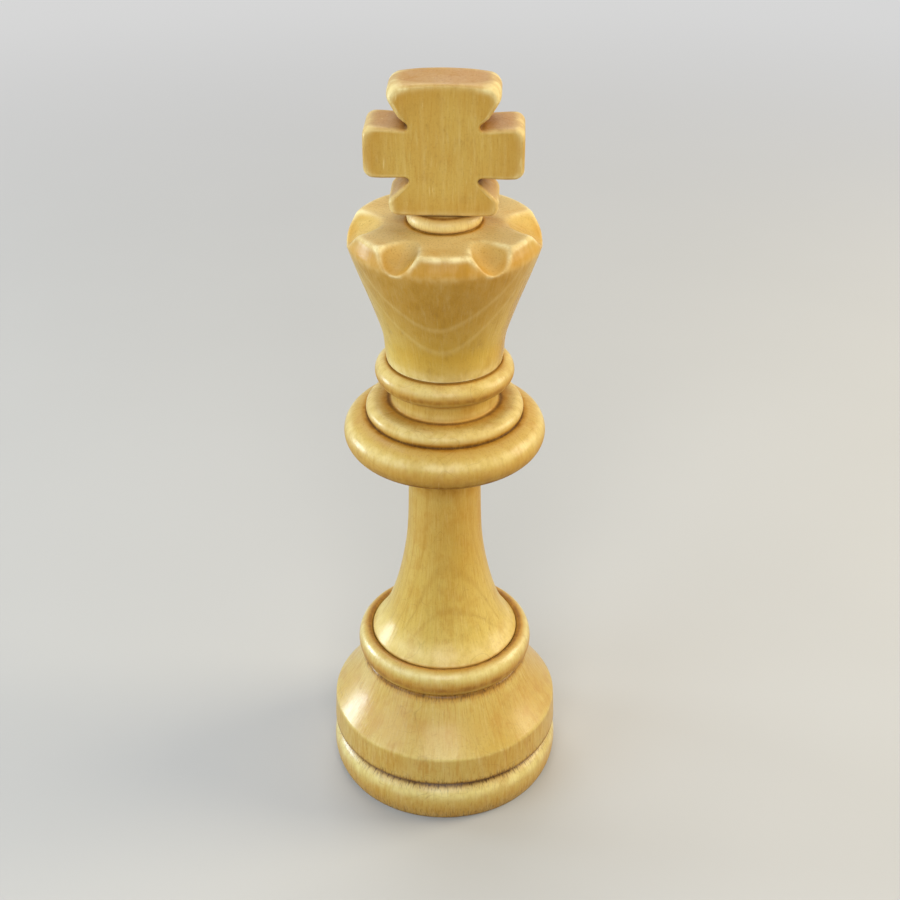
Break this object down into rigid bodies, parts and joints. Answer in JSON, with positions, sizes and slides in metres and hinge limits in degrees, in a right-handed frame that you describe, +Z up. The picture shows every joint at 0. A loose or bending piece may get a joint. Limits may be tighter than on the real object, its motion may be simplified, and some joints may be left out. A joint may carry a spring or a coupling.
{
  "type": "chess king",
  "caption": "Tall turned wooden chess king with a stepped base, slim collared stem, notched coronet and a cross on top; stands free on a felt pad.",
  "frame": {"origin": "centre of the felt pad's underside, on the surface the king stands on", "axes": "+Z up along the turning axis to the cross, -Y the front that the broad face of the cross looks to, +X to the right"},
  "size_m": [0.0302, 0.0302, 0.095],
  "materials": {
    "pale_wood": "satin varnish, worn pale on edges, brown in the grooves",
    "plug_wood": "bare sawn wood",
    "weight_metal": "rough cast",
    "felt": "pressed wool felt"
  },
  "bodies": {
    "root": {"felt_pad": "felt", "weight_plug": "plug_wood", "base_weight": "weight_metal", "base": "pale_wood", "stem": "pale_wood", "head": "pale_wood", "finial_collar": "pale_wood", "cross": "pale_wood"}
  },
  "joints": []
}
